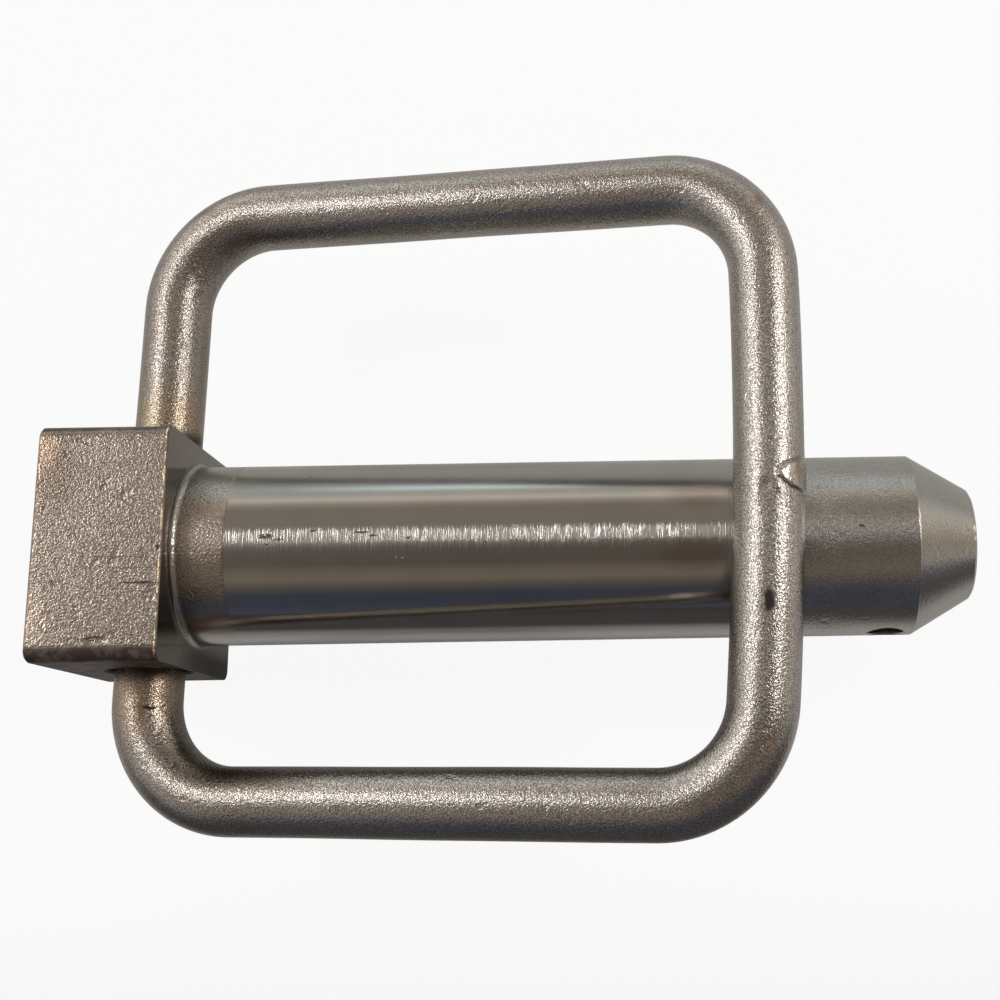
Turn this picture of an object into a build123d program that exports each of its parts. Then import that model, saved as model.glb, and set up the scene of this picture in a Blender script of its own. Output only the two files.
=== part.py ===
"""Hitch pin: a round pin turned on the end of a square bar, with a welded wire bail.

Two pieces. The pin is one piece of steel: a block of square bar with a round shank turned
on it, bored across for the bail and, near the tip, for a keeper. The bail is one rod, bent
into a ring through the bore and butt-welded on its outer leg. It lies on top of the shank.

Frame, in millimetres: the origin is on the shank's axis at the head's bearing face, +X runs
along the shank to the tip, +Y along the bail bore, and +Z is up.
"""

from build123d import *
import os
from math import asin, cos, radians, sin, tan

# Pin
SHANK_D = 25.4  # 1 inch
SHANK_LENGTH = 100.7  # bearing face to the start of the lead-in
LEAD_IN_LENGTH = 8.65
TIP_D = 15.3
TIP_BREAK = 0.35  # worn edge round the tip's end face
ROOT_FILLET = 0.8
HEAD_SIDE = 31.75  # 1 1/4 inch square bar
HEAD_LENGTH = 17.5
HEAD_CORNER = 1.7  # rolled corners along the bar
HEAD_END_BREAK = 0.35  # worn edges of the sawn end
HEAD_OFFSET = -0.4  # bar's middle from the shank's axis, along Y

# Holes across the pin
BAIL_BORE_D = 11.5
BAIL_BORE_BACK = 6.2  # bore's axis behind the bearing face
BORE_BREAK = 0.3
KEEPER_HOLE_D = 5.2
KEEPER_HOLE_X = 97.0
KEEPER_HOLE_CLOCK = 3.0  # degrees round the shank from the bail bore
KEEPER_HOLE_BREAK = 0.3

# Bail, measured along the middle of its wire
WIRE_D = 9.525  # 3/8 inch
BAIL_REACH = 86.2  # leg in the bore to the line of the outer leg's ends
BAIL_WIDTH = 84.6  # between the two long legs, at the bore
BAIL_TAPER = 0.4  # each long leg draws in by this at the outer leg
BAIL_SLIDE = 8.35  # how far it has slid along the bore
BAIL_BEND = 13.75
BAIL_RACK = 0.57  # degrees, the bent ring is a little out of square
WELD_V = 7.0  # place of the weld along the outer leg
WELD_CORNER = 2.1  # the outer leg's halves, run on straight, meet this far out
WELD_BEND = 570.0
WELD_BOW = 1.39  # how far the bent wire itself stands out there
BEAD_WIDTH = 4.6
BEAD_HEIGHT = 0.3

# How the bail lies in the head and on the shank
HINGE_BACK = 5.75  # bore leg's axis behind the bearing face
BAIL_SKEW = 1.14  # degrees, play in the loose bore
REST_GAP = 0.62  # wire to shank

SHANK_R = SHANK_D / 2
WIRE_R = WIRE_D / 2
BAIL_TILT = asin((SHANK_R + WIRE_R + REST_GAP) / (BAIL_REACH + WELD_BOW))


def turned_shank():
    """Round shank with its lead-in taper, turned about X, running into the head."""
    tip_r = TIP_D / 2
    tip_x = SHANK_LENGTH + LEAD_IN_LENGTH
    outline = Polyline(
        (-HEAD_LENGTH / 2, 0),
        (-HEAD_LENGTH / 2, SHANK_R),
        (SHANK_LENGTH, SHANK_R),
        (tip_x - TIP_BREAK, tip_r + TIP_BREAK * (SHANK_R - tip_r) / LEAD_IN_LENGTH),
        (tip_x, tip_r - TIP_BREAK),
        (tip_x, 0),
        close=True,
    )
    return Rot(X=-90) * revolve(make_face(outline), Axis.X)


def square_head():
    """Length of rolled square bar: round corners along it, a sawn end with its edges worn."""
    bar = Box(HEAD_LENGTH, HEAD_SIDE, HEAD_SIDE, align=(Align.MAX, Align.CENTER, Align.CENTER))
    bar = fillet(bar.edges().filter_by(Axis.X), HEAD_CORNER)
    end_face = bar.faces().sort_by(Axis.X)[0]
    bar = chamfer(end_face.edges(), HEAD_END_BREAK)
    return Pos(0, HEAD_OFFSET, 0) * bar


def root_edge(solid):
    """Circle where the shank meets the bearing face."""
    circles = solid.edges().filter_by(GeomType.CIRCLE)
    return [e for e in circles if abs(e.center().X) < 0.01 and abs(e.radius - SHANK_R) < 0.01]


def bail_bore():
    """Cross-bore for the bail with both mouths eased, as a cutter."""
    radius = BAIL_BORE_D / 2
    half = HEAD_SIDE / 2
    bore = Cylinder(radius, 2 * HEAD_SIDE, rotation=(90, 0, 0))
    for side in (1, -1):
        face_y = HEAD_OFFSET + side * half
        mouth = Cone(radius, radius + 2 * BORE_BREAK, 2 * BORE_BREAK, rotation=(-90 * side, 0, 0))
        bore += Pos(0, face_y, 0) * mouth
    return Pos(-BAIL_BORE_BACK, 0, 0) * bore


def keeper_hole_edges(solid):
    """The two rims of the keeper hole on the shank's round surface."""
    around_hole = KEEPER_HOLE_D / 2 + 0.1
    boxes = [(edge, edge.bounding_box()) for edge in solid.edges()]
    return [
        edge
        for edge, box in boxes
        if abs(box.center().X - KEEPER_HOLE_X) < 0.1 and box.size.X / 2 < around_hole
        and box.size.Z > KEEPER_HOLE_D / 2 and box.size.Y < KEEPER_HOLE_D
    ]


def make_pin():
    pin = square_head() + turned_shank()
    pin = fillet(root_edge(pin), ROOT_FILLET)
    pin -= bail_bore()
    keeper = Cylinder(KEEPER_HOLE_D / 2, 2 * SHANK_D, rotation=(90 - KEEPER_HOLE_CLOCK, 0, 0))
    pin -= Pos(KEEPER_HOLE_X, 0, 0) * keeper
    return chamfer(keeper_hole_edges(pin), KEEPER_HOLE_BREAK)


def bail_plane():
    """Plane of the ring: x from the bore leg to the outer leg, y along the bore leg."""
    tilt = BAIL_TILT
    flat = Plane((-HINGE_BACK, 0, 0), x_dir=(cos(tilt), 0, sin(tilt)), z_dir=(-sin(tilt), 0, cos(tilt)))
    return flat.rotated((0, 0, -BAIL_SKEW))


def bail_corners():
    """Corners of the ring in its own plane, from the bore leg's upper end round to its lower."""
    lean = tan(radians(BAIL_RACK))
    upper = BAIL_SLIDE + BAIL_WIDTH / 2
    lower = BAIL_SLIDE - BAIL_WIDTH / 2
    return [
        (0, upper),
        (BAIL_REACH + upper * lean, upper - BAIL_REACH * lean - BAIL_TAPER),
        (BAIL_REACH + lower * lean, lower - BAIL_REACH * lean + BAIL_TAPER),
        (0, lower),
    ]


def beyond_outer_leg(stand_out):
    """Point in the ring's own plane that stands out from the outer leg's line at the weld."""
    return (BAIL_REACH + WELD_V * tan(radians(BAIL_RACK)) + stand_out, WELD_V)


def weld_bead():
    """Low raised ring left round the wire by the butt weld, along the plane's y."""
    half = BEAD_WIDTH / 2
    crown = WIRE_R + BEAD_HEIGHT
    arc = ThreePointArc((WIRE_R - 0.02, -half), (crown, 0), (WIRE_R - 0.02, half))
    section = make_face([arc, Line((WIRE_R - 0.02, half), (WIRE_R - 0.02, -half))])
    u, v = beyond_outer_leg(WELD_BOW)
    return Pos(u, v, 0) * revolve(section, Axis.Y)


def make_bail():
    upper_in, upper_out, lower_out, lower_in = bail_corners()
    corners = [beyond_outer_leg(WELD_CORNER), lower_out, lower_in, upper_in, upper_out]
    bends = [WELD_BEND, BAIL_BEND, BAIL_BEND, BAIL_BEND, BAIL_BEND]
    path = FilletPolyline(*corners, radius=bends, close=True)
    section = Plane(path @ 0, z_dir=path % 0) * Circle(WIRE_R)
    ring = sweep(section, path=path)
    return bail_plane() * (ring + weld_bead())


pieces = {"pin": make_pin(), "bail": make_bail()}

os.makedirs("parts", exist_ok=True)
for name, piece in pieces.items():
    export_step(piece, f"parts/{name}.step")
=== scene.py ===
"""Hitch pin: the looks of its two steel pieces, the turned pin and the welded wire bail.

The pin keeps its CAD shape and gets its finish here. The bail's wire is made again, with the
flash of its weld, in place of the CAD one.

Everything is in metres, in the CAD model's frame: the origin is on the shank's axis at the
head's bearing face, +X runs along the shank to the tip, +Y along the bail's bore, +Z is up.
"""

from math import asin, cos, pi, radians, sin, tan
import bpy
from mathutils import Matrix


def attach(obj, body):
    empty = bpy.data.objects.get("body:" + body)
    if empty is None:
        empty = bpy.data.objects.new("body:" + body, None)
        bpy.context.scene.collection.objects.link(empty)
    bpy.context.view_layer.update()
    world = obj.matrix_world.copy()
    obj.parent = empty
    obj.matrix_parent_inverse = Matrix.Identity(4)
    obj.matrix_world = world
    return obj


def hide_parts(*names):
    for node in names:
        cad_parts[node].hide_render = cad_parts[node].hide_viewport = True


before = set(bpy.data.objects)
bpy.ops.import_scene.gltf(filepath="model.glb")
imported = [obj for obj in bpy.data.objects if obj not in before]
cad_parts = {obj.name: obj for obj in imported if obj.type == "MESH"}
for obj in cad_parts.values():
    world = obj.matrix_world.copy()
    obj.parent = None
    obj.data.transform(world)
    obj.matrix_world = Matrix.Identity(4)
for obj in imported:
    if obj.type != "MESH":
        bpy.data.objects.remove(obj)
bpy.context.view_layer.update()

from types import SimpleNamespace

import bpy
import numpy as np
from mathutils import Euler, Matrix, Vector

MM = 0.001

# Pin
SHANK_R = 12.7 * MM
SHANK_LENGTH = 100.7 * MM
BORE_R = 5.75 * MM
BORE_BACK = 6.2 * MM

# Bail, measured along the middle of its wire
WIRE_R = 4.7625 * MM
BAIL_REACH = 86.2 * MM
BAIL_WIDTH = 84.6 * MM
BAIL_TAPER = 0.4 * MM
BAIL_SLIDE = 8.35 * MM
BAIL_BEND = 13.75 * MM
BAIL_RACK = radians(0.57)
WELD_V = 7.0 * MM
WELD_CORNER = 2.1 * MM
WELD_BEND = 570.0 * MM
WELD_BOW = 1.39 * MM
HINGE_BACK = 5.75 * MM
BAIL_SKEW = radians(1.14)
REST_GAP = 0.62 * MM
BAIL_TILT = asin((SHANK_R + WIRE_R + REST_GAP) / (BAIL_REACH + WELD_BOW))
SWING_END = radians(336)
BEAD_HEIGHT = 0.28 * MM


# ---------------------------------------------------------------- shapes


def grid_mesh(name, points, extras):
    """Mesh over a grid of points, closed both round and end to end, with a value of each extra.

    Point (i, j) is at place i along and j around; each face joins (i, j), (i, j + 1),
    (i + 1, j + 1) and (i + 1, j), with i and j wrapping round to 0.
    """
    rows, columns = points.shape[:2]
    i, j = np.meshgrid(np.arange(rows), np.arange(columns), indexing="ij")
    i_next, j_next = (i + 1) % rows, (j + 1) % columns
    corners = np.stack(
        [i * columns + j, i * columns + j_next, i_next * columns + j_next, i_next * columns + j], axis=-1
    ).reshape(-1, 4)
    mesh = bpy.data.meshes.new(name)
    mesh.from_pydata(points.reshape(-1, 3).tolist(), [], corners.tolist())
    mesh.polygons.foreach_set("use_smooth", np.ones(len(corners), bool))
    for key, values in extras.items():
        attribute = mesh.attributes.new(key, "FLOAT", "POINT")
        attribute.data.foreach_set("value", values.astype(np.float32).ravel())
    mesh.update()
    piece = bpy.data.objects.new(name, mesh)
    bpy.context.scene.collection.objects.link(piece)
    return piece


def unit(vectors):
    """The same directions with a length of 1."""
    return vectors / np.linalg.norm(vectors, axis=-1, keepdims=True)


class RoundedLoop:
    """Closed chain of straight runs in a plane, joined by arcs.

    A corner with turn a and bend radius r takes r * tan(a / 2) off both its runs. At a
    distance d into the arc the heading has turned by d / r, and the point has moved by the
    difference of the sines and cosines of the heading, times r.
    """

    def __init__(self, corners, bends):
        corners, bends = np.array(corners), np.array(bends)
        come = unit(corners - np.roll(corners, 1, axis=0))
        go = unit(np.roll(corners, -1, axis=0) - corners)
        turn = np.arctan2(come[:, 0] * go[:, 1] - come[:, 1] * go[:, 0], (come * go).sum(1))
        trim = bends * np.tan(np.abs(turn) / 2)
        self.bend_start = corners - come * trim[:, None]
        self.bend_end = corners + go * trim[:, None]
        self.heading = np.arctan2(come[:, 1], come[:, 0])
        self.curve = np.sign(turn) / bends
        self.arc = bends * np.abs(turn)
        run = np.linalg.norm(np.roll(self.bend_start, -1, axis=0) - self.bend_end, axis=1)
        self.starts = np.concatenate([[0], np.cumsum(np.stack([self.arc, run], 1).ravel())])
        self.length = self.starts[-1]

    def at(self, places):
        """Point and heading at each distance along the loop."""
        leg = np.clip(np.searchsorted(self.starts, places, side="right") - 1, 0, len(self.starts) - 2)
        corner, on_run = leg // 2, leg % 2 == 1
        inside = places - self.starts[leg]
        curve, first = self.curve[corner], self.heading[corner]
        heading = first + curve * np.where(on_run, self.arc[corner], inside)
        bent = np.stack([np.sin(heading) - np.sin(first), np.cos(first) - np.cos(heading)], 1)
        on_arc = self.bend_start[corner] + bent / curve[:, None]
        ahead = np.stack([np.cos(heading), np.sin(heading)], 1)
        on_line = self.bend_end[corner] + ahead * inside[:, None]
        return np.where(on_run[:, None], on_line, on_arc), heading

    def middle(self, corner):
        """Distance along the loop of the middle of a corner's bend."""
        return self.starts[2 * corner] + self.arc[corner] / 2


def ring_corners():
    """Corners of the bail in its own plane: the weld first, then round by the lower side."""
    lean = tan(BAIL_RACK)
    upper, lower = BAIL_SLIDE + BAIL_WIDTH / 2, BAIL_SLIDE - BAIL_WIDTH / 2
    return [
        (BAIL_REACH + WELD_V * lean + WELD_CORNER, WELD_V),
        (BAIL_REACH + lower * lean, lower - BAIL_REACH * lean + BAIL_TAPER),
        (0, lower),
        (0, upper),
        (BAIL_REACH + upper * lean, upper - BAIL_REACH * lean - BAIL_TAPER),
    ]


def ring_frame():
    """Matrix from the ring's own plane to the model's frame: tilted up, then skewed."""
    turn = Matrix.Rotation(-BAIL_SKEW, 4, "Z") @ Matrix.Rotation(-BAIL_TILT, 4, "Y")
    return Matrix.Translation((-HINGE_BACK, 0, 0)) @ turn


def bump_at(x, centre, width):
    """Bell of height 1: the power of e to minus the square of the distance over the width."""
    return np.exp(-(((x - centre) / width) ** 2))


def distance_to_chain(x, y, chain):
    """Shortest distance from each point (x, y) to a chain of straight pieces."""
    nearest = np.full(x.shape, np.inf)
    for (ax, ay), (bx, by) in zip(chain[:-1], chain[1:]):
        px, py, dx, dy = x - ax, y - ay, bx - ax, by - ay
        t = np.clip((px * dx + py * dy) / (dx * dx + dy * dy), 0, 1)
        nearest = np.minimum(nearest, np.hypot(px - t * dx, py - t * dy))
    return nearest


def inside_chain(x, y, chain):
    """True at points (x, y) below a chain that runs on in x, and between its ends."""
    places, heights = np.array(chain).T
    return (y < np.interp(x, places, heights)) & (x > places[0]) & (x < places[-1])


# Edge of the lapped tongue: millimetres along the wire from the weld, and round it
TONGUE_EDGE = [
    (-2.9, 1.6),
    (-2.6, 2.8),
    (-2.0, 4.3),
    (-1.1, 5.7),
    (-0.2, 5.85),
    (0.7, 4.9),
    (1.3, 3.8),
    (1.6, 1.6),
]


def weld_flash(s, a):
    """The wire's radius round its weld, and how much lap, tongue and dent there is.

    s is the distance along the wire from the weld and a the angle round it, 0 on the side
    away from the shank. The radius is the wire's own, with slow waves, plus the weld's
    collar, a bell along the wire that stands proud most near that side. A tongue of metal is
    lapped over the collar: it stands up by a step that rises within a third of a millimetre
    of its edge, and a narrow groove runs round that edge. Beside its tip lies a smooth dent.
    """
    girth = WIRE_R * np.where(a > pi, a - 2 * pi, a)
    edge = np.array(TONGUE_EDGE) * MM
    from_edge = distance_to_chain(s, girth, edge)
    step = 1 - bump_at(from_edge, 0, 0.34 * MM)
    tongue = np.where(inside_chain(s, girth, edge), step, 0)
    tongue = tongue * (0.4 + 0.6 * bump_at(girth, 4.2 * MM, 2.4 * MM))
    collar = bump_at(s, 0.3 * MM, 2.2 * MM) * (0.5 + 0.5 * np.cos(a - radians(35)))
    lap = bump_at(from_edge, 0, 0.15 * MM)
    dent = bump_at(s, 1.4 * MM, 1.4 * MM) * bump_at(girth, 7.1 * MM, 0.7 * MM)
    waves = np.sin(s / (9 * MM) + 2 * a) + 0.7 * np.sin(s / (4.3 * MM) - a + 1.0)
    radius = WIRE_R + (0.020 * waves - 0.03 - 0.16 * lap - 0.17 * dent) * MM
    radius = radius + BEAD_HEIGHT * (0.55 * collar + 0.75 * tongue)
    return radius, {"lap": lap, "tongue": tongue, "dent": dent}


def wire_surface():
    """The bail's wire: a circle carried along the rounded ring, with its weld's flash.

    Steps along the wire are finest near the weld. At each one the circle's points lie out of
    the ring by the radius times the cosine of their angle, and up by the radius times its sine.
    """
    loop = RoundedLoop(ring_corners(), [WELD_BEND] + [BAIL_BEND] * 4)
    near, fine_steps, coarse_steps, round_steps = 6 * MM, 104, 376, 192
    fine = np.linspace(-near, near, fine_steps, endpoint=False)
    coarse = np.linspace(near, loop.length - near, coarse_steps, endpoint=False)
    along = np.concatenate([fine, coarse])
    point, heading = loop.at((along + loop.middle(0)) % loop.length)
    angle = np.linspace(0, 2 * pi, round_steps, endpoint=False)

    s, a = np.meshgrid(along, angle, indexing="ij")
    s = np.where(s > loop.length / 2, s - loop.length, s)
    radius, marks = weld_flash(s, a)
    outward = np.stack([-np.sin(heading), np.cos(heading)], 1)
    flat = point[:, None, :] + (radius * np.cos(a))[..., None] * outward[:, None, :]
    local = np.concatenate([flat, (radius * np.sin(a))[..., None]], axis=-1)
    turn = np.array(ring_frame())
    return local @ turn[:3, :3].T + turn[:3, 3], marks


# ---------------------------------------------------------------- finishes


class Signal:
    """An output of a material's node. Sums on signals add Math nodes, and add() any other."""

    def __init__(self, tree, socket=None):
        self.tree, self.socket = tree, socket

    def add(self, kind, settings=(), inputs=(), out=0):
        """A node of this kind: its settings first, then values or signals for its sockets."""
        node = self.tree.nodes.new("ShaderNode" + kind)
        for key, value in dict(settings).items():
            if key == "stops":
                ramp = node.color_ramp
                for _ in value[2:]:
                    ramp.elements.new(0.5)
                for element, (place, shade) in zip(ramp.elements, value):
                    element.position, element.color = place, (*shade, 1)
            else:
                setattr(node, key, value)
        for key, value in dict(inputs).items():
            if isinstance(value, Signal):
                self.tree.links.new(value.socket, node.inputs[key])
            else:
                node.inputs[key].default_value = value
        return Signal(self.tree, node.outputs[out])

    def sum(self, operation, *others):
        """A Math node on this signal and the others."""
        return self.add("Math", {"operation": operation}, dict(enumerate((self,) + others)))

    def __add__(self, other):
        return self.sum("ADD", other)

    def __sub__(self, other):
        return self.sum("SUBTRACT", other)

    def __rsub__(self, other):
        return (-self) + other

    def __mul__(self, other):
        return self.sum("MULTIPLY", other)

    def __pow__(self, other):
        return self.sum("POWER", other)

    def __neg__(self):
        return self * -1.0

    __radd__, __rmul__ = __add__, __mul__

    def over(self, low, high):
        """0 below low, 1 above high, and a smooth step between them."""
        return self.add(
            "MapRange",
            {"interpolation_type": "SMOOTHSTEP"},
            {"Value": self, "From Min": low, "From Max": high, "To Min": 0.0, "To Max": 1.0},
        )

    def clip(self):
        """Held between 0 and 1."""
        return self.add("Clamp", {}, {"Value": self})

    def hill(self, centre, width):
        """Bell of height 1 round a value."""
        away = (self - centre) * (1.0 / width)
        return (-(away * away)).sum("EXPONENT")


def axes(place, names="XYZ"):
    """A place's coordinates, each a signal of its own."""
    return [place.add("SeparateXYZ", {}, {"Vector": place}, name) for name in names]


def noise(at, scale, detail=2.0, rough=0.5, offset=(0, 0, 0), stretch=(1, 1, 1)):
    """Even noise, 0 to 1, with its features 1 / scale metres apart along an unstretched axis."""
    moved = at.add("Mapping", {}, {"Vector": at, "Location": offset, "Scale": stretch})
    settings = {"Vector": moved, "Scale": scale, "Detail": detail, "Roughness": rough}
    return at.add("TexNoise", {}, settings)


def blend_colour(factor, first, second):
    """The first colour where the factor is 0, the second where it is 1."""
    first, second = (c if isinstance(c, Signal) else (*c, 1) for c in (first, second))
    return factor.add("Mix", {"data_type": "RGBA"}, {0: factor, 6: first, 7: second}, 2)


def layered(colour, layers):
    """A colour with others laid over it in turn, each a share from 0 to 1 and its colour."""
    for share, paint in layers:
        colour = blend_colour(share, colour, paint)
    return colour


def tinted(colour, red, green, blue):
    """A colour with each of its parts multiplied."""
    return colour.add("VectorMath", {"operation": "MULTIPLY"}, {0: colour, 1: (red, green, blue)})


def new_finish(name):
    """Empty material, its Principled shader, and the place on the piece as a signal."""
    material = bpy.data.materials.new(name)
    material.use_nodes = True
    tree = material.node_tree
    return material, tree.nodes["Principled BSDF"], Signal(tree).add("TexCoord", {}, {}, "Object")


def finish_steel(shader, colour, roughness, height, metallic=None):
    """Joins a colour, a roughness and a height in millimetres to a metal shader."""
    relief = height.add("Bump", {}, {"Height": height, "Strength": 1.0, "Distance": MM})
    joined = {"Base Color": colour, "Roughness": roughness, "Normal": relief}
    if metallic is not None:
        joined["Metallic"] = metallic
    for socket, signal in joined.items():
        signal.tree.links.new(signal.socket, shader.inputs[socket])
    shader.inputs["Metallic"].default_value = 1.0
    shader.inputs["Specular IOR Level"].default_value = 0.15


def spot(place, centre, reach, soft=0.35):
    """1 inside an ellipsoid round a point, with its half-lengths along X, Y and Z in millimetres."""
    middle, halves = (tuple(value * MM for value in values) for values in (centre, reach))
    away = place.add("VectorMath", {"operation": "SUBTRACT"}, {0: place, 1: middle})
    scaled = away.add("VectorMath", {"operation": "DIVIDE"}, {0: away, 1: halves})
    distance = scaled.add("VectorMath", {"operation": "LENGTH"}, {0: scaled}, "Value")
    return 1 - distance.over(1 - soft, 1 + soft)


def spots(place, marks):
    """1 inside any of several ellipsoids."""
    total = spot(place, *marks[0])
    for mark in marks[1:]:
        total = total.sum("MAXIMUM", spot(place, *mark))
    return total


def wander(place, scale, amount):
    """The place moved about by up to so many millimetres, for a ragged edge on what is drawn there."""
    wind = place.add("TexNoise", {}, {"Vector": place, "Scale": scale, "Detail": 2.0}, "Color")
    shift = wind.add("VectorMath", {"operation": "SUBTRACT"}, {0: wind, 1: (0.5, 0.5, 0.5)})
    sockets = {0: shift, 1: (amount * MM,) * 3, 2: place}
    return shift.add("VectorMath", {"operation": "MULTIPLY_ADD"}, sockets)


def blasted_grain(place, size):
    """Grit-blasted skin: a height in millimetres, and how bright and how tinted each grain is."""
    coarse = noise(place, 2.0 / size, 1.5, 0.6, (0.1, 0.4, 0.2))
    fine = noise(place, 4.1 / size, 1.5, 0.6, (0.5, 0.1, 0.3))
    height = (coarse * 110.0 + fine * 42.0) * size
    bright = noise(place, 3.1 / size, 2.0, 0.7, (0.2, 0.6, 0.1))
    tint = noise(place, 2.2 / size, 1.0, 0.5, (0.9, 0.3, 0.5))
    return height, bright, tint


def grain_colour(colour, bright, tint, strength):
    """A steel colour with light and dark grains, some rosy and some greenish."""
    dark, light = 1 - 0.62 * strength, 1 + 0.75 * strength
    dark = tinted(colour, dark * 1.03, dark, dark * 0.97)
    light = tinted(colour, light * 0.97, light, light * 1.05)
    speckled = blend_colour(bright.over(0.32, 0.68), dark, light)
    rosy, green = tinted(speckled, 1.04, 0.985, 0.985), tinted(speckled, 0.97, 1.01, 1.00)
    return blend_colour(tint.over(0.40, 0.60), rosy, green)


# Marks on the pin, each a middle and half-lengths in millimetres, and how soft its edge is
HEAD_SCRATCHES = [
    ((-4.8, -2.65, 15.9), (4.0, 0.06, 1.0)),
    ((-3.9, -4.15, 15.9), (3.4, 0.07, 1.0)),
    ((-7.0, 10.1, 15.9), (2.0, 0.07, 1.0)),
]
HEAD_PITS = [
    ((-2.9, -6.15, 15.9), (2.2, 0.12, 1.0)),
    ((-14.2, -6.0, 15.9), (0.25, 0.32, 1.0)),
    ((-16.1, 4.1, 15.9), (0.20, 0.30, 1.0)),
    ((-0.6, -1.5, 15.9), (0.25, 0.40, 1.0)),
]
HEAD_NOTCH = [((-8.0, -13.7, 15.9), (1.3, 0.55, 1.2))]
COPPER = [((-16.4, 12.2, 15.7), (1.5, 2.6, 1.6), 0.6)]
BROWN = [((-14.8, 9.5, 15.7), (2.9, 6.0, 2.0), 0.8)]
BEIGE = [((-16.3, -11.2, 15.7), (1.4, 4.2, 1.6), 0.7)]
SHANK_PITS = [
    ((12.8, 0.35, 12.7), (0.85, 0.28, 1.0)),
    ((14.3, -0.15, 12.7), (0.75, 0.20, 1.0)),
    ((12.9, -0.80, 12.7), (0.30, 0.14, 1.0)),
    ((19.1, 1.00, 12.7), (0.30, 0.18, 1.0)),
    ((25.6, 0.75, 12.7), (1.00, 0.16, 1.0)),
    ((27.2, 0.30, 12.7), (0.60, 0.16, 1.0)),
    ((31.9, -0.10, 12.7), (0.30, 0.18, 1.0)),
    ((17.4, 9.40, 8.5), (0.38, 0.16, 0.3)),
    ((92.9, 0.45, 12.7), (0.36, 0.22, 1.0)),
]
PINK_SPECKS = [((30.3, -2.7, 12.4), (0.16, 0.13, 0.5)), ((31.1, -2.75, 12.4), (0.20, 0.12, 0.5))]
RED_PATCHES = [((71.0, 5.6, 11.4), (3.6, 2.4, 2.0), 0.6), ((70.6, -2.8, 12.3), (4.2, 2.2, 2.0), 0.6)]
BRIGHT_NICKS = [
    ((100.72, 0.9, 12.6), (0.13, 2.6, 0.9)),
    ((109.1, 0.9, 7.7), (0.25, 0.55, 0.5)),
    ((109.1, -0.5, 7.7), (0.20, 0.35, 0.5)),
]


# Where the shank's polish takes over from the blasted root
ROOT_END = 7.05 * MM


def pin_zones(place):
    """Where each finish lies on the pin, with the painted shade on the face's lower corner and round the
    bore, as signals from 0 to 1, with the place's coordinates.
    """
    x, y, z = axes(place)
    wide = y.sum("ABSOLUTE")
    uneven = noise(place, 1400.0, 3.0, 0.7) * MM
    turned = x.over(-0.3 * MM, -0.1 * MM)
    bar = 1 - turned
    face = turned * (1 - x.over(0.05 * MM, 0.4 * MM))
    flank = x.over(0.4 * MM, 1.0 * MM) * wide.over(7 * MM, 10.5 * MM)
    polished = (x + 0.72 * uneven).over(ROOT_END, ROOT_END + 0.4 * MM)
    polished = polished * (1 - (x + 3.6 * uneven).over(82 * MM, 90 * MM))
    polished = polished + 0.8 * flank * (1 - x.over(ROOT_END, ROOT_END + 0.4 * MM))
    cone = x.over(SHANK_LENGTH - 0.1 * MM, SHANK_LENGTH + 0.1 * MM)
    from_bore = x + BORE_BACK
    from_bore = (from_bore * from_bore + z * z) ** 0.5
    return SimpleNamespace(
        x=x,
        y=y,
        z=z,
        turned=turned,
        face=face,
        polished=polished,
        blasted=1 - (polished + face).clip(),
        root=x.over(0.4 * MM, 0.8 * MM) * (1 - x.over(ROOT_END, ROOT_END + 0.2 * MM)),
        tip=x.over(88 * MM, 92 * MM) * (0.35 + 0.25 * cone),
        sides=wide.over(14.1 * MM, 14.8 * MM) * bar,
        front=(1 - y.over(-15.2 * MM, -14.3 * MM)) * bar,
        scale_and_shade_corner=face * (1 - y.over(-14.6 * MM, -11.5 * MM)) * (1 - z.over(-2 * MM, 13 * MM)),
        bore_mouth_shade=1 - from_bore.over(BORE_R + 0.25 * MM, BORE_R + 0.55 * MM),
    )


def pin_marks(place, zone):
    """Scratches, pits, rubbed places and a painted highlight along the head's edge, as signals from 0 to
    about 1.
    """
    loose, looser = wander(place, 900.0, 0.5), wander(place, 2200.0, 0.75)
    broken = noise(place, 2600.0, 2.0, 0.6).over(0.36, 0.50)
    wear_and_painted_light = noise(place, 520.0, 3.0, 0.7, (0.3, 0.8, 0.2)).over(0.42, 0.56)
    speckle = noise(place, 1900.0, 2.0, 0.7, (0.4, 0.2, 0.6)).over(0.47, 0.60)
    near_edge = zone.x.over(-0.50 * MM, -0.30 * MM) * (1 - zone.turned)
    far_edge = (1 - zone.x.over(-17.3 * MM, -16.3 * MM)) * zone.z.over(13.0 * MM, 14.5 * MM)
    return SimpleNamespace(
        scratches=0.45 * spots(loose, HEAD_SCRATCHES) + spots(loose, HEAD_PITS),
        pits=spots(looser, SHANK_PITS) * broken,
        notch=spots(loose, HEAD_NOTCH),
        nicks=spots(loose, BRIGHT_NICKS) + spots(loose, PINK_SPECKS),
        # The head's top edge at the face: partly rubbed bright, partly a painted highlight, broken by
        # noise.
        rubbed_edge_and_highlight=near_edge * zone.z.over(15.0 * MM, 15.4 * MM) * wear_and_painted_light,
        far_edge=far_edge * speckle,
        copper=spots(loose, COPPER) * (0.45 + 0.55 * speckle),
        brown=spots(loose, BROWN),
        beige=spots(loose, BEIGE),
        red=spots(loose, RED_PATCHES),
    )


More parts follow.
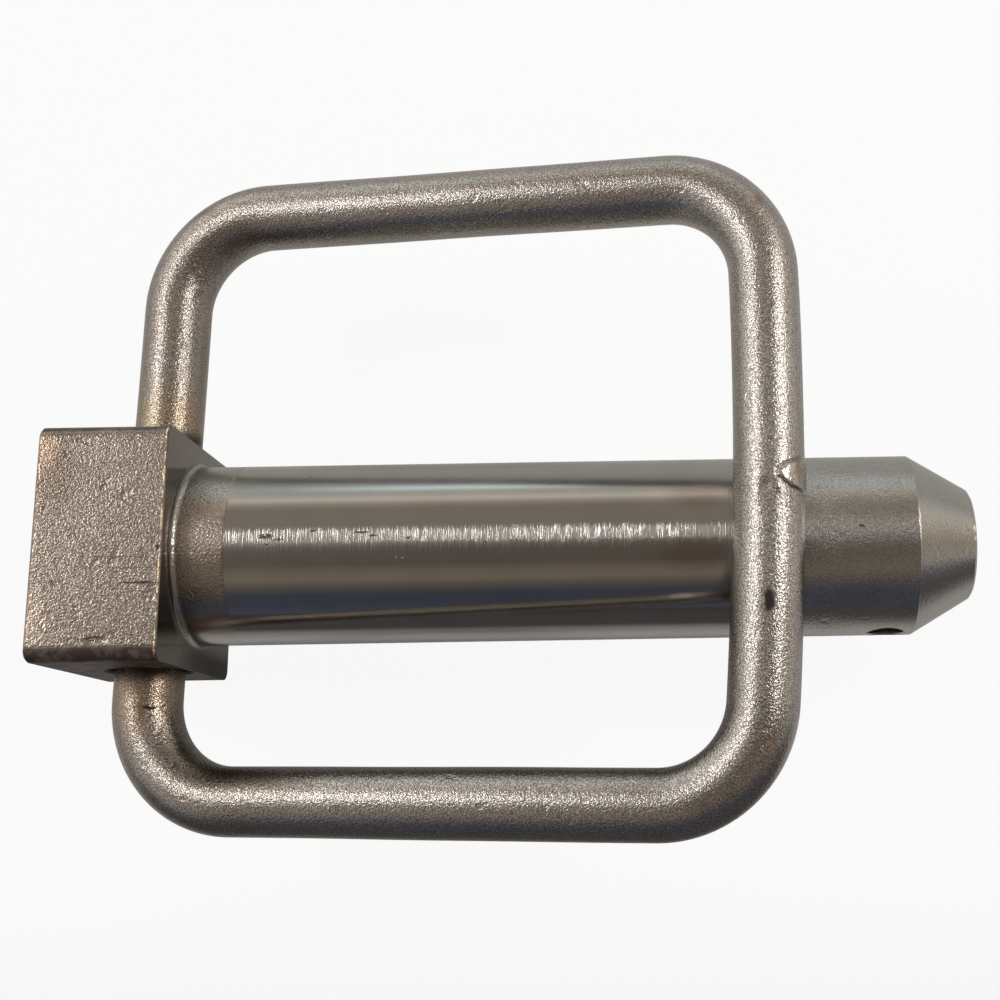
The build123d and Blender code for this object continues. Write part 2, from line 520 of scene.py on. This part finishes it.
def pin_relief(place, zone, mark, grain):
    """Height of the pin's skin in millimetres: its grain, its turning marks and its wear.

    Grooves run round the shank, deepest in a stripe along its top, and rings round its face.
    """
    x, y, z = zone.x, zone.y, zone.z
    dents = noise(place, 420.0, 2.0, 0.6, (0.3, 0.1, 0.2)).over(0.60, 0.74)
    grooves = noise(place, 1.0, 3.0, 0.65, (0, 0, 0), (6000.0, 90.0, 90.0))
    ticks = noise(place, 1.0, 2.0, 0.6, (0.4, 0, 0), (3000.0, 70.0, 70.0)).over(0.53, 0.60)
    scuffs = noise(place, 1.0, 2.0, 0.6, (0.2, 0, 0), (1400.0, 260.0, 260.0)).over(0.45, 0.75)
    radius = (y * y + z * z) ** 0.5
    rings = place.add("CombineXYZ", {}, {"X": radius * 4200.0, "Y": y * 60.0, "Z": z * 60.0})
    middle = x.hill(52 * MM, 30 * MM)
    stripe = y.over(-2.4 * MM, -1.0 * MM) * (1 - y.over(1.4 * MM, 2.0 * MM)) * z.over(0, MM)
    groove_depth = 0.006 + stripe * (0.026 + 0.045 * middle * (0.5 + scuffs))
    tick_depth = 0.001 + stripe * (0.004 + 0.008 * middle)
    grain_share = zone.blasted * (1 + 0.15 * zone.root) * (1 - 0.6 * zone.sides) * (1 - zone.tip)
    return (
        (grain - 0.05 * dents) * grain_share
        + (groove_depth * grooves + tick_depth * ticks) * zone.polished
        + 0.008 * noise(rings, 1.0, 2.0, 0.6) * zone.face
        - 0.10 * mark.scratches
        - 0.08 * mark.pits
        - 0.15 * mark.notch
    )


def pin_colour(place, zone, mark, cloud, bright, tint):
    """Colour of the pin: bare steel, stains and tones, grains, then scale, dirt and bright wear, with
    painted shade on the head's front, on the face and round the bore, and a painted highlight along the
    head's edge.
    """
    patch = noise(place, 420.0, 3.0, 0.65, (0.7, 0.2, 0.4))
    mottle = patch.over(0.42, 0.60)
    bar = blend_colour(patch, (0.235, 0.198, 0.165), (0.31, 0.267, 0.228))
    shank = blend_colour(cloud, (0.315, 0.30, 0.28), (0.38, 0.365, 0.34))
    olive = blend_colour(cloud, (0.178, 0.162, 0.132), (0.222, 0.202, 0.166))
    scale = blend_colour(mottle, (0.085, 0.07, 0.062), (0.16, 0.137, 0.122))
    front_shade = blend_colour(mottle, (0.062, 0.042, 0.034), (0.15, 0.115, 0.098))
    lit_root_tone = zone.root * zone.z.over(4 * MM, 9 * MM) * (1 - zone.y.over(4 * MM, 8 * MM))
    tones = [
        (zone.turned, shank),
        # Partly the root's own brown, partly painted light: the brown lies only on the root's top, where
        # the key lamp lights it and the head's shadow falls.
        (0.9 * lit_root_tone, (0.33, 0.27, 0.225)),
        (0.55 * mark.brown, (0.16, 0.118, 0.09)),
        (0.6 * mark.copper, (0.56, 0.39, 0.28)),
        (0.45 * mark.beige, (0.52, 0.44, 0.35)),
        (0.5 * mark.far_edge, (0.66, 0.44, 0.31)),
        (0.30 * mark.red, (0.20, 0.12, 0.09)),
    ]
    # Layers of scale, dirt and wear, and of painted shade and a painted highlight, laid over the grains.
    wear_and_painted_light = [
        (0.9 * zone.sides, scale),
        # Painted shade: the head's front face is painted dark, standing in for the shaded floor it would
        # reflect.
        (0.95 * zone.front, front_shade),
        (zone.face, olive),
        # Painted shade: the face is painted darker towards its +Y side, against the window light it
        # reflects.
        (0.42 * zone.face * zone.y.over(6 * MM, 10 * MM), (0.07, 0.045, 0.02)),
        # Partly dark scale, partly painted shade: the face's lower front corner, over the shaded floor,
        # is painted nearly black.
        (0.90 * zone.scale_and_shade_corner, (0.03, 0.022, 0.02)),
        # Painted shade: a dark ring round the bore's rim, where the bore falls into shade.
        (0.9 * zone.blasted * zone.bore_mouth_shade, (0.02, 0.016, 0.014)),
        ((0.7 * mark.scratches + 0.15 * mark.notch).clip(), (0.05, 0.045, 0.04)),
        (0.85 * mark.pits, (0.045, 0.04, 0.03)),
        ((0.9 * mark.nicks).clip(), (0.92, 0.86, 0.80)),
        # Partly a rubbed edge, partly a painted highlight: a bright gold line along the head's top edge
        # at the face.
        (mark.rubbed_edge_and_highlight, (0.95, 0.74, 0.50)),
    ]
    steel = layered(bar, tones)
    grains = (zone.blasted * (1 - zone.tip), grain_colour(steel, bright, tint, 0.46))
    return layered(steel, [grains] + wear_and_painted_light)


def pin_steel():
    """The pin: blasted bar, a turned and polished shank, rough again at the root and tip."""
    material, shader, place = new_finish("pin_steel")
    zone = pin_zones(place)
    mark = pin_marks(place, zone)
    grain, bright, tint = blasted_grain(place, 0.62 * MM)
    cloud = noise(place, 160.0, 3.0, 0.6)
    relief = pin_relief(place, zone, mark, grain)
    colour = pin_colour(place, zone, mark, cloud, bright, tint)
    upper = zone.polished * zone.y.over(5 * MM, 9 * MM)
    # Where the head's front and the face's lower corner are painted dark as shade, the steel is also
    # made rough and not metallic.
    shade_matt = (0.85 * zone.front + 0.9 * zone.scale_and_shade_corner).clip()
    roughness = 0.10 + 0.05 * cloud + 0.12 * zone.blasted + 0.05 * zone.root
    roughness = roughness + 0.13 * upper + 0.3 * mark.pits + 0.35 * shade_matt
    finish_steel(shader, colour, roughness, relief, 1 - shade_matt)
    return material


# Marks on the bail as it lies at rest, written like the pin's
BAIL_STAINS = [
    ((-5.6, -22.8, 3.7), (0.7, 3.0, 2.0), 0.6),
    ((-0.5, 50.2, 4.4), (2.6, 0.9, 2.0), 0.6),
    ((0.9, 18.6, 4.4), (1.3, 3.2, 2.0), 0.7),
    ((84.0, 6.3, 22.2), (0.9, 2.2, 2.0), 0.6),
    ((79.8, 43.8, 21.5), (0.5, 0.9, 2.0), 0.6),
]
BAIL_SOOT = [
    ((79.35, -10.7, 22.3), (0.62, 1.60, 1.6), 0.3),
    ((0.6, -24.4, 4.8), (1.2, 3.0, 2.2), 0.8),
    ((-4.4, -21.6, 4.0), (0.9, 0.16, 1.2), 0.4),
    ((11.8, 51.4, 7.1), (0.45, 0.35, 1.0), 0.5),
]


def bail_steel():
    """The bail: drawn wire, grainy all over, with stains in places, a smooth weld, and painted shade
    where it runs into the head's bore.
    """
    material, shader, place = new_finish("bail_steel")
    x, y = axes(place, "XY")
    lap, tongue, dent = (
        place.add("Attribute", {"attribute_name": name}, {}, "Fac") for name in ("lap", "tongue", "dent")
    )
    loose = wander(place, 900.0, 0.9)
    stains, soot = spots(loose, BAIL_STAINS), spots(loose, BAIL_SOOT)
    cloud = noise(place, 140.0, 3.0, 0.6)
    dents = noise(place, 430.0, 2.0, 0.6, (0.1, 0.5, 0.2)).over(0.60, 0.74)
    grain, bright, tint = blasted_grain(place, 0.60 * MM)

    wide = y.sum("ABSOLUTE")
    near_head = 1 - x.over(4 * MM, 26 * MM)
    golden = (1 - wide.over(19 * MM, 27 * MM)) * (1 - x.over(8 * MM, 14 * MM))
    wire_bore_shade = (1 - wide.over(16.6 * MM, 18.6 * MM)) * (1 - x.over(10 * MM, 12 * MM))
    tones = [
        (0.32 * near_head, (0.15, 0.115, 0.08)),
        (0.5 * golden, (0.33, 0.235, 0.14)),
        ((0.35 * tongue).clip(), (0.62, 0.58, 0.52)),
    ]
    dirt_and_shade = [
        (0.55 * stains, (0.20, 0.10, 0.055)),
        (0.93 * soot, (0.03, 0.022, 0.02)),
        ((0.28 * lap).clip(), (0.06, 0.05, 0.04)),
        # Painted shade: the wire is painted nearly black where it runs into the head's bore, in the
        # head's shadow.
        (0.85 * wire_bore_shade, (0.03, 0.022, 0.02)),
    ]
    steel = blend_colour(cloud, (0.285, 0.255, 0.225), (0.37, 0.34, 0.305))
    colour = grain_colour(layered(steel, tones), bright, tint, 0.78)
    smooth = (dent * 1.2 + soot + tongue * 0.5).clip()
    relief = (1.12 * grain - 0.05 * dents) * (1 - 0.8 * smooth)
    finish_steel(shader, layered(colour, dirt_and_shade), 0.20 + 0.06 * cloud + 0.15 * soot, relief)
    return material


# ---------------------------------------------------------------- room


OBJECT_MIDDLE = Vector((0.045, 0.005, 0.0))
FLOOR_REACH = 12.0
FLOOR_GAP = 0.47 * MM

# Colour of the room by the angle of a direction's Y over its Z: -90 degrees is the skyline
# in front of the object, 0 is overhead and 90 degrees is the skyline behind it
ROOM_BANDS = [
    (-90, (0.08, 0.10, 0.15)),
    (-75, (0.045, 0.06, 0.11)),
    (-61, (0.05, 0.06, 0.10)),
    (-50, (0.17, 0.145, 0.12)),
    (-42, (0.32, 0.26, 0.20)),
    (-33, (0.28, 0.23, 0.175)),
    (-22, (0.15, 0.12, 0.095)),
    (-8, (0.16, 0.13, 0.105)),
    (4, (0.20, 0.165, 0.14)),
    (26, (0.40, 0.345, 0.295)),
    (50, (0.40, 0.35, 0.30)),
    (57, (0.62, 0.56, 0.48)),
    (64, (1.25, 1.15, 1.00)),
    (71, (0.80, 0.79, 0.72)),
    (80, (0.70, 0.76, 0.76)),
    (87, (0.55, 0.62, 0.65)),
]

# Height and bearing in degrees, distance and size in metres, brightness, colour
LAMPS = {
    "lamp_left": (45, 161, 0.9, (0.20, 0.20), 11.5, (0.98, 0.98, 0.99)),
    "lamp_left_wide": (40, 150, 0.9, (0.30, 0.30), 0.6, (0.94, 0.98, 1.0)),
    "lamp_left_high": (62, 158, 0.9, (0.30, 0.30), 0.25, (1.0, 0.91, 0.82)),
    "lamp_right": (46, 18, 0.6, (0.14, 0.14), 13.5, (0.92, 0.95, 0.97)),
    "lamp_above": (78, 90, 0.9, (0.46, 0.25), 0.62, (1.0, 0.99, 0.95)),
    "lamp_right_low": (33, 30, 0.9, (0.30, 0.30), 1.8, (1.0, 0.97, 0.92)),
    "window_left": (12, 130, 1.2, (0.60, 0.20), 2.4, (0.92, 0.97, 1.0)),
    "window_back": (8, 92, 1.2, (0.50, 0.12), 1.7, (0.80, 0.93, 1.0)),
    "lamp_tip": (8, 0, 1.2, (0.8, 0.20), 0.9, (0.90, 0.98, 1.0)),
}


def toward(elevation, azimuth):
    """Direction from its height above the floor and its bearing from +X round to +Y, in degrees."""
    e, a = radians(elevation), radians(azimuth)
    return Vector((cos(e) * cos(a), cos(e) * sin(a), sin(e)))


def lamp(name, elevation, azimuth, distance, size, brightness, colour):
    """Soft rectangular lamp that looks at the middle of the object; 1 is a white panel."""
    light = bpy.data.lights.new(name, "AREA")
    light.shape, light.size, light.size_y = "RECTANGLE", size[0], size[1]
    light.energy, light.color = brightness * pi * size[0] * size[1], colour
    piece = bpy.data.objects.new(name, light)
    away = toward(elevation, azimuth)
    piece.location = OBJECT_MIDDLE + away * distance
    piece.rotation_euler = away.to_track_quat("Z", "Y").to_euler()
    bpy.context.scene.collection.objects.link(piece)


def pale_share(start, to_camera, to_metal):
    """How much of the pale background a ray picks up: a camera ray's share and a reflection's."""
    camera, glossy, transmission = (
        start.add("LightPath", {}, {}, f"Is {way} Ray") for way in ("Camera", "Glossy", "Transmission")
    )
    return (camera * to_camera + (glossy + transmission) * to_metal).clip()


def lay_floor():
    """Wide pale floor, just under the bail where it hangs lowest at the end of its swing.

    The outer leg is then below the hinge by its reach times the sine of the angle it droops.
    """
    droop = 2 * pi - SWING_END - BAIL_TILT
    depth = (BAIL_REACH + WELD_BOW) * sin(droop) + WIRE_R + BEAD_HEIGHT + FLOOR_GAP
    spread = np.array([(-1, -1), (1, -1), (1, 1), (-1, 1)]) * FLOOR_REACH
    mesh = bpy.data.meshes.new("floor")
    mesh.from_pydata([(x, y, -depth) for x, y in spread.tolist()], [], [(0, 1, 2, 3)])
    floor = bpy.data.objects.new("floor", mesh)
    bpy.context.scene.collection.objects.link(floor)
    material = bpy.data.materials.new("floor_paper")
    material.use_nodes = True
    tree = material.node_tree
    start = Signal(tree)
    (y,) = axes(start.add("TexCoord", {}, {}, "Object"), "Y")
    # Painted shade: the paper is dark in front of the object, as seen in reflections, standing in for
    # the shade there. Painted light: a strip of it between the shank and the bail's lower leg glows
    # white in reflections.
    lit, under = y.over(-66 * MM, -44 * MM), y.hill(-32 * MM, 8 * MM)
    shade = blend_colour(lit, (0.14, 0.14, 0.15), (0.72, 0.72, 0.71))
    paper = start.add("BsdfDiffuse", {}, {"Color": shade})
    white = start.add("Emission", {}, {"Color": (1, 1, 1, 1), "Strength": 1.0})
    share = pale_share(start, 0.92, 0.02 + 0.08 * lit + 0.14 * under)
    seen = start.add("MixShader", {}, {0: share, 1: paper, 2: white})
    tree.links.new(seen.socket, tree.nodes["Material Output"].inputs["Surface"])
    mesh.materials.append(material)


def glow(direction, elevation, azimuth, sharpness):
    """Soft patch of sky: the cosine of the angle from its middle, to a power."""
    bearing = {0: direction, 1: toward(elevation, azimuth)}
    facing = direction.add("VectorMath", {"operation": "DOT_PRODUCT"}, bearing, "Value")
    return facing.sum("MAXIMUM", 0.0) ** sharpness


def light_room():
    """Lamps at both sides and a room in level bands, from its dark front to a window behind."""
    world = bpy.data.worlds.new("room")
    bpy.context.scene.world = world
    world.use_nodes = True
    tree = world.node_tree
    start = Signal(tree)
    direction = start.add("TexCoord", {}, {}, "Generated")
    y, z = axes(direction, "YZ")
    level = y.sum("ARCTAN2", z) * (1 / pi) + 0.5
    stops = [(angle / 180 + 0.5, shade) for angle, shade in ROOM_BANDS]
    bands = level.add("ValToRGB", {"stops": stops}, {0: level})
    room = start.add("Background", {}, {"Color": bands, "Strength": 1.0})
    left, right = glow(direction, 20, 180, 5.0), glow(direction, 20, 0, 5.0)
    for patch, colour in ((left, (0.74, 0.76, 0.76)), (right, (0.20, 0.145, 0.09))):
        part = start.add("Background", {}, {"Color": (*colour, 1), "Strength": patch})
        room = start.add("AddShader", {}, {0: room, 1: part})
    pale = start.add("Background", {}, {"Color": (0.93, 0.93, 0.93, 1), "Strength": 1.0})
    seen = start.add("MixShader", {}, {0: pale_share(start, 0.95, 0.05), 1: room, 2: pale})
    tree.links.new(seen.socket, tree.nodes["World Output"].inputs["Surface"])
    for name, setting in LAMPS.items():
        lamp(name, *setting)


def set_camera():
    """Looks down on the object from in front, a little to the tip's side of its middle."""
    lens = bpy.data.cameras.new("camera")
    lens.sensor_width, lens.lens = 36.0, 53.25
    lens.shift_x, lens.shift_y = -0.1658, -0.0201
    lens.clip_start, lens.clip_end = 0.01, 50.0
    camera = bpy.data.objects.new("camera", lens)
    camera.rotation_euler = Euler((0.2213, 0.0038, -0.0158), "XYZ")
    camera.location = (0.06666, -0.036685, 0.20799)
    bpy.context.scene.collection.objects.link(camera)
    bpy.context.scene.camera = camera


# ---------------------------------------------------------------- the scene

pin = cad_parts["pin"]
pin.data.materials.clear()
pin.data.materials.append(pin_steel())

wire = grid_mesh("bail_wire", *wire_surface())
wire.data.materials.append(bail_steel())
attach(wire, "bail_body")
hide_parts("bail")

lay_floor()
light_room()
set_camera()
bpy.context.scene.view_settings.view_transform = "Standard"
